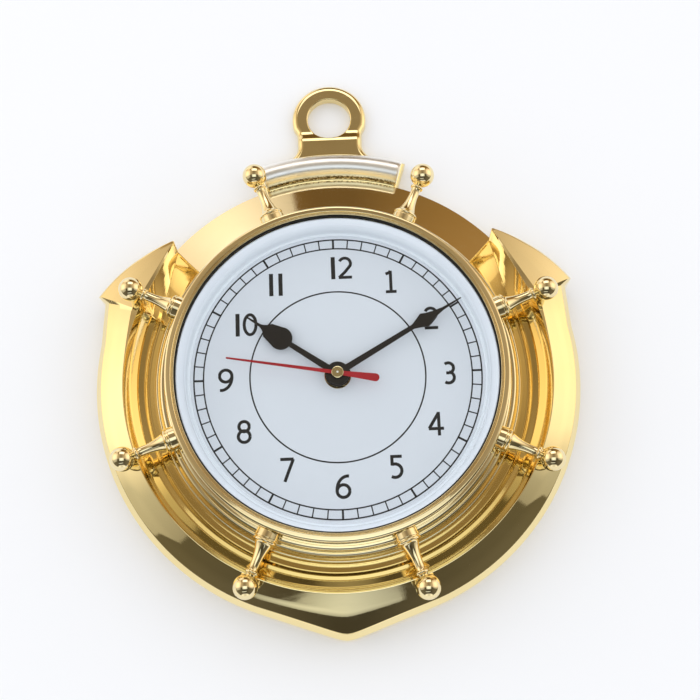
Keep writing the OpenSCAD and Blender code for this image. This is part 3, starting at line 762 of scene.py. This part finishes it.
def wheel_handles():
    """The eight handles, each turned about its own spoke of the wheel."""
    for index in range(1, HANDLE_N + 1):
        node = f"wheel_handle_{index}"
        lo, hi = node_size(node)
        middle = (lo + hi) / 2
        angle = SPOKE_ONE - (index - 1) * 360 / HANDLE_N
        out = polar(1, angle)
        aside = polar(1, angle + 90)
        up = Vector((0, 0, 1))

        def place(u, v, s, out=out, aside=aside, z=middle.z):
            return out * s + aside * u + up * (v + z)

        bm = bmesh.new()
        add_turned(bm, handle_profile(BEZEL_R + 0.05, BALL_AT, BALL_R), place)
        finish_mesh(f"{node}_brass", bm, TURNED_BRASS, replaces=[node], slot="polished_brass")


def spoke_facts():
    """Angle of the first spoke, and the ball's place and radius, read from the first handle's own mesh."""
    mesh = NODES["wheel_handle_1"].data
    points = [Vector(((v.co.x - AXIS.x) / MM, (v.co.z - AXIS.z) / MM)) for v in mesh.vertices]
    far = max(p.length for p in points)
    tip = max(points, key=lambda p: p.length)
    lo, hi = node_size("wheel_handle_1")
    ball_r = (hi.z - lo.z) / 2
    return math.degrees(math.atan2(tip.y, tip.x)), far - ball_r, ball_r


SPOKE_ONE, BALL_AT, BALL_R = spoke_facts()


# ---- Glass, surround and dial ----

def glass():
    """Flat pane with a wide bevel. The bevel bends light and the flat middle lets it straight through."""
    bm = bmesh.new()
    bevel = 6.6
    edge_z = GLASS_TOP - 1.0
    segments = 360
    flat_r = GLASS_R - bevel
    top = [(flat_r, GLASS_TOP), (flat_r + 0.15, GLASS_TOP - 0.005), (GLASS_R - 0.2, edge_z),
           (GLASS_R, edge_z - 0.2)]
    bottom = [(GLASS_R, GLASS_Z + 0.1), (GLASS_R - 0.1, GLASS_Z), (flat_r, GLASS_Z)]
    rings = [[polar(r, 360 * i / segments, z) for i in range(segments)] for r, z in top + bottom]
    add_loft(bm, rings, pole_start=Vector((0, 0, GLASS_TOP)), pole_end=Vector((0, 0, GLASS_Z)))
    for f in bm.faces:
        f.material_index = 1 if f.calc_center_median().to_2d().length > flat_r else 0
    finish_mesh("glass_pane", bm, [GLASS_CLEAR, GLASS_BEVEL], sharp=4, replaces=["glass"], slot="clear_glass")


def dial_surround():
    """White ring that rises from the dial in two fine steps and a deep cove."""
    foot = DIAL_Z + 0.02
    rim = GLASS_Z - 0.06
    inner_r, outer_r = 70.3, 76.0
    cove_r, cove_w = 71.95, 3.5
    cove_z = DIAL_Z + 3.1
    profile = rounded([((inner_r, foot), 0.05), ((inner_r + 0.2, DIAL_Z + 1.3), 0.4),
                       ((71.5, DIAL_Z + 1.5), 0.3), ((71.9, DIAL_Z + 2.9), 0.5)], closed=False)
    for k in range(1, 17):
        t = k / 16
        profile.append(Vector((cove_r + cove_w * t ** 1.5, cove_z + (rim - cove_z) * t ** 0.8)))
    profile += rounded([((cove_r + cove_w, rim), 0.1), ((outer_r, rim), 0.2), ((outer_r, foot), 0.1),
                        ((inner_r, foot), 0.1)], closed=False)[1:-1]
    lathe("dial_surround_white", profile, SURROUND_WHITE, replaces=["dial_surround"], slot="white_plastic")


PRINT_T = 0.03            # thickness of the printed ink


def add_ring_print(bm, r, width, n=360):
    """Printed circle of radius r."""
    inside, outside = r - width / 2, r + width / 2
    top = DIAL_Z + PRINT_T
    profile = [(inside, DIAL_Z), (outside, DIAL_Z), (outside, top), (inside, top)]
    add_loft(bm, [[polar(p[0], 360 * i / n, p[1]) for p in profile] for i in range(n)], path_closed=True)


def add_stroke(bm, points, width, z):
    """Pen stroke of even width along a polyline, with square ends."""
    left, right = [], []
    pts = [Vector(p) for p in points]
    for i, p in enumerate(pts):
        a = (p - pts[i - 1]).normalized() if i else (pts[1] - p).normalized()
        b = (pts[i + 1] - p).normalized() if i < len(pts) - 1 else a
        mean = (a + b).normalized()
        side = Vector((-mean.y, mean.x)) * width / 2 / max(mean.dot(a), 0.6)
        left.append(p + side)
        right.append(p - side)
    add_plate(bm, left + right[::-1], z, z + PRINT_T)


def numeral_strokes(digit):
    """Centre lines of a numeral one unit high, about its own middle, in a plain upright pen.

    I is the plain stroke of 10, 11 and 12, and 1 has a flag and a foot.
    """
    top, low = 0.435, -0.435
    if digit == "I":
        return [[(0, 0.5), (0, -0.5)]]
    if digit == "1":
        flag = [(-0.18, 0.36), (-0.02, 0.42), (0.03, 0.5)]
        return [[(0.03, 0.5), (0.03, -0.5)], flag, [(-0.2, low), (0.26, low)]]
    if digit == "2":
        hook = arc(-0.01, 0.19, 0.245, 155, -28, 12)
        return [hook + [(-0.02, -0.2), (-0.27, low)], [(-0.29, low), (0.28, low)]]
    if digit == "3":
        upper = arc(-0.02, 0.215, 0.22, 130, -80, 12)
        lower = arc(-0.03, -0.195, 0.24, 82, -128, 14)
        return [upper, lower, [(-0.12, 0.0), (0.02, 0.0)]]
    if digit == "4":
        return [[(0.12, 0.5), (0.12, -0.5)], [(0.12, 0.46), (-0.29, -0.19)], [(-0.31, -0.2), (0.32, -0.2)]]
    if digit == "5":
        bowl = arc(-0.05, -0.155, 0.28, 112, -122, 14)
        return [[(0.25, top), (-0.19, top)], [(-0.16, 0.5), (-0.16, 0.06)], bowl]
    if digit in "69":
        bowl = arc(0.015, -0.175, 0.26, 0, 360, 24)
        turns = [math.radians(84 + 100 * k / 14) for k in range(15)]
        stem = [(0.215 + 0.46 * math.cos(a), -0.13 + 0.57 * math.sin(a)) for a in turns]
        strokes = [bowl, stem]
        return strokes if digit == "6" else [[(-x, -y) for x, y in s] for s in strokes]
    if digit == "7":
        return [[(-0.27, top), (0.28, top)], [(0.27, top), (-0.1, -0.5)]]
    if digit == "8":
        return [arc(0, 0.22, 0.215, 0, 360, 24), arc(0, -0.2, 0.245, 0, 360, 24)]
    return [[(0.25 * math.cos(TAU * k / 32), 0.44 * math.sin(TAU * k / 32)) for k in range(33)]]


NUMERALS = {   # hour: (signs with their offset in numeral heights, centre on the dial)
    12: ([("I", -0.3), ("2", 0.22)], (3.0, 54.2)),
    1: ([("1", 0)], (27.1, 46.0)),
    2: ([("2", 0)], (46.0, 26.9)),
    3: ([("3", 0)], (53.1, -0.8)),
    4: ([("4", 0)], (45.5, -25.3)),
    5: ([("5", 0)], (25.7, -45.1)),
    6: ([("6", 0)], (0.5, -53.5)),
    7: ([("7", 0)], (-25.4, -44.4)),
    8: ([("8", 0)], (-45.2, -25.5)),
    9: ([("9", 0)], (-53.4, 0.0)),
    10: ([("I", -0.36), ("0", 0.17)], (-43.4, 27.1)),
    11: ([("I", -0.17), ("I", 0.23)], (-28.9, 46.8)),
}


def dial_print():
    """Minute track, inner circle and numbers, as ink on the dial."""
    track_in, track_out, inner = 64.2, 68.8, 42.0
    thick_pen, thin_pen = 2.0, 1.5
    bm = bmesh.new()
    for r, width in ((track_in, 0.68), (track_out, 0.72), (inner, 0.72)):
        add_ring_print(bm, r, width)
    for minute in range(60):
        width = 1.0 if minute % 5 == 0 else 0.6
        spoke = polar(1, 90 - 6 * minute).to_2d()
        add_stroke(bm, [spoke * (track_in + 0.1), spoke * (track_out - 0.1)], width, DIAL_Z)
    height = 11.4
    for signs, centre in NUMERALS.values():
        for sign, shift in signs:
            for k, stroke in enumerate(numeral_strokes(sign)):
                pts = [(centre[0] + (x + shift) * height, centre[1] + y * height) for x, y in stroke]
                pen = thick_pen if sign == "I" else thin_pen
                add_stroke(bm, pts, pen, DIAL_Z + 0.001 * k)
    finish_mesh("dial_print", bm, PRINT_BLACK, slot="black_enamel")


# ---- Stage, light and camera ----

def stage_material():
    """Pale matt sheet that is seen only from its front, so that the clock's back can be looked at."""
    light, dark = (0.93, 0.93, 0.935), (0.92, 0.92, 0.925)
    s = Shader("stage_sheet", light)
    s.mix(s.spread(s.noise(3, 2), 0, 1, start=0.3, end=0.7).outputs["Result"], light, dark)
    s.link(s.spread(s.noise(8, 2), 0.85, 0.95), "Result", s.bsdf, "Roughness")
    side = s.tree.nodes.new("ShaderNodeNewGeometry")
    clear = s.tree.nodes.new("ShaderNodeBsdfTransparent")
    both = s.tree.nodes.new("ShaderNodeMixShader")
    s.link(side, "Backfacing", both, "Fac")
    s.tree.links.new(s.bsdf.outputs["BSDF"], both.inputs[1])
    s.tree.links.new(clear.outputs["BSDF"], both.inputs[2])
    s.link(both, "Shader", s.out, "Surface")
    return s.material


def backdrop():
    """Large sheet just behind the wall plane, facing the viewer, with its sizes in metres."""
    half = 1.6
    gap = 0.0008
    mesh = bpy.data.meshes.new("backdrop")
    corners = [(-half, gap, -half), (half, gap, -half), (half, gap, half), (-half, gap, half)]
    mesh.from_pydata(corners, [], [(0, 1, 2, 3)])
    mesh.materials.append(stage_material())
    obj = bpy.data.objects.new("backdrop", mesh)
    bpy.context.scene.collection.objects.link(obj)
    obj.visible_shadow = False


def direction(azimuth, elevation):
    """Unit vector from the clock: azimuth 0 is towards the viewer and 90 to the right, elevation up."""
    a, e = math.radians(azimuth), math.radians(elevation)
    return Vector((math.sin(a) * math.cos(e), -math.cos(a) * math.cos(e), math.sin(e)))


def fade_edges(data):
    """Makes a lamp's panel dimmer away from its middle, like a real softbox."""
    data.use_nodes = True
    tree = data.node_tree
    emission = next(n for n in tree.nodes if n.type == "EMISSION")
    place = tree.nodes.new("ShaderNodeNewGeometry")
    middle = tree.nodes.new("ShaderNodeVectorMath")
    middle.operation = "DISTANCE"
    middle.inputs[1].default_value = (0.5, 0.5, 0.0)
    fade = tree.nodes.new("ShaderNodeMapRange")
    fade.inputs["From Min"].default_value = 0.1
    fade.inputs["From Max"].default_value = 0.65
    fade.inputs["To Min"].default_value = 1.25
    fade.inputs["To Max"].default_value = 0.45
    tree.links.new(place.outputs["Parametric"], middle.inputs[0])
    tree.links.new(middle.outputs["Value"], fade.inputs["Value"])
    tree.links.new(fade.outputs["Result"], emission.inputs["Strength"])


def softbox(name, azimuth, elevation, width, height, power, distance=1.6, color=(1, 1, 1), **seen):
    """Rectangular area light that faces the dial's centre. Its sizes and its distance are in metres."""
    data = bpy.data.lights.new(name, "AREA")
    data.shape = "RECTANGLE"
    data.size, data.size_y = width, height
    data.energy = power
    data.color = color
    fade_edges(data)
    obj = bpy.data.objects.new(name, data)
    bpy.context.scene.collection.objects.link(obj)
    out = direction(azimuth, elevation)
    obj.location = AXIS + out * distance
    obj.rotation_mode = "QUATERNION"
    obj.rotation_quaternion = out.to_track_quat("Z", "Y")
    obj.visible_camera = False
    for key, value in seen.items():
        setattr(obj, key, value)
    return obj


MIRRORED_TONES = (   # (height from straight down at 0 to straight up at 1, colour)
    (0.0, (0.8, 0.8, 0.8)), (0.03, (0.75, 0.75, 0.75)),             # pale floor
    (0.06, (0.06, 0.055, 0.046)), (0.40, (0.045, 0.04, 0.028)),     # dark lower room
    (0.50, (0.26, 0.22, 0.17)), (0.72, (0.30, 0.24, 0.17)),         # warm wall
    (0.88, (0.15, 0.09, 0.036)), (1.0, (0.16, 0.094, 0.034)),       # brown ceiling
)


def mirrored_room(tree):
    """What the brass mirrors: tones that change with height, brighter towards the sides."""
    mirror = tree.nodes.new("ShaderNodeBackground")
    ramp = tree.nodes.new("ShaderNodeValToRGB")
    coords = tree.nodes.new("ShaderNodeTexCoord")
    split = tree.nodes.new("ShaderNodeSeparateXYZ")
    height = tree.nodes.new("ShaderNodeMapRange")
    height.inputs["From Min"].default_value = -1
    tree.links.new(coords.outputs["Generated"], split.inputs["Vector"])
    tree.links.new(split.outputs["Z"], height.inputs["Value"])
    tree.links.new(height.outputs["Result"], ramp.inputs["Fac"])
    tree.links.new(ramp.outputs["Color"], mirror.inputs["Color"])
    tones = ramp.color_ramp.elements
    for element, (place, tone) in zip(tones, (MIRRORED_TONES[0], MIRRORED_TONES[-1])):
        element.position = place
        element.color = (*tone, 1)
    for place, tone in MIRRORED_TONES[1:-1]:
        tones.new(place).color = (*tone, 1)
    sides = tree.nodes.new("ShaderNodeMath")
    sides.operation = "ABSOLUTE"
    glow = tree.nodes.new("ShaderNodeMapRange")
    glow.inputs["From Min"].default_value = 0.08
    glow.inputs["From Max"].default_value = 0.85
    glow.inputs["To Min"].default_value = 1.0
    glow.inputs["To Max"].default_value = 3.1
    tree.links.new(split.outputs["X"], sides.inputs[0])
    tree.links.new(sides.outputs["Value"], glow.inputs["Value"])
    tree.links.new(glow.outputs["Result"], mirror.inputs["Strength"])
    return mirror


def studio_world():
    """White room for diffuse light and for the eye; a dim warm room for what the brass mirrors."""
    world = bpy.data.worlds.new("studio")
    bpy.context.scene.world = world
    world.use_nodes = True
    tree = world.node_tree
    tree.nodes.clear()
    out = tree.nodes.new("ShaderNodeOutputWorld")
    room = tree.nodes.new("ShaderNodeBackground")
    room.inputs["Color"].default_value = (0.97, 0.975, 1.0, 1)
    room.inputs["Strength"].default_value = 0.87
    mirror = mirrored_room(tree)
    path = tree.nodes.new("ShaderNodeLightPath")
    mirrored = tree.nodes.new("ShaderNodeMath")
    mirrored.operation = "SUBTRACT"
    mirrored.use_clamp = True
    both = tree.nodes.new("ShaderNodeMixShader")
    tree.links.new(path.outputs["Is Glossy Ray"], mirrored.inputs[0])
    tree.links.new(path.outputs["Is Transmission Ray"], mirrored.inputs[1])
    tree.links.new(mirrored.outputs["Value"], both.inputs["Fac"])
    tree.links.new(room.outputs["Background"], both.inputs[1])
    tree.links.new(mirror.outputs["Background"], both.inputs[2])
    tree.links.new(both.outputs["Shader"], out.inputs["Surface"])


def lights():
    """Softboxes at the sides, high at the left and above, for the stock and the crown, and for the back."""
    softbox("left_box", -64, 9, 1.5, 2.2, 5.4)
    softbox("left_high_box", -80, 62, 1.3, 1.0, 3.2)
    softbox("right_box", 64, 14, 1.5, 2.1, 4.8)
    softbox("key_box", 2, 48, 1.2, 0.75, 4.6, visible_diffuse=False)
    softbox("stock_box", 0, -14, 1.2, 0.8, 3.6, color=(0.85, 0.93, 1.0))
    softbox("crown_strip", -9, -49, 1.1, 0.24, 0.6, color=(0.8, 0.88, 1.0), visible_diffuse=False)
    softbox("back_left", -140, 30, 1.2, 1.2, 7)
    softbox("back_right", 150, 10, 1.2, 1.2, 7)


def camera():
    """Camera below the dial's axis, looking up, with a small roll. Its place is in metres."""
    data = bpy.data.cameras.new("camera")
    data.sensor_width = 36
    data.lens = 64.73
    data.clip_start, data.clip_end = 0.02, 20
    obj = bpy.data.objects.new("camera", data)
    bpy.context.scene.collection.objects.link(obj)
    obj.location = AXIS + Vector((0.0068, -0.5837, -0.1460))
    look_up = 15.2            # degrees
    roll = -2.28
    obj.rotation_mode = "QUATERNION"
    aim = direction(180.05, look_up)
    obj.rotation_quaternion = aim.to_track_quat("-Z", "Y") @ Quaternion((0, 0, 1), math.radians(roll))
    bpy.context.scene.camera = obj


bpy.context.scene.view_settings.view_transform = "Standard"
anchor_casting()
anchor_stock()
porthole_body()
bezel_ring()
wheel_handles()
glass()
dial_surround()
dial_print()
backdrop()
studio_world()
lights()
camera()
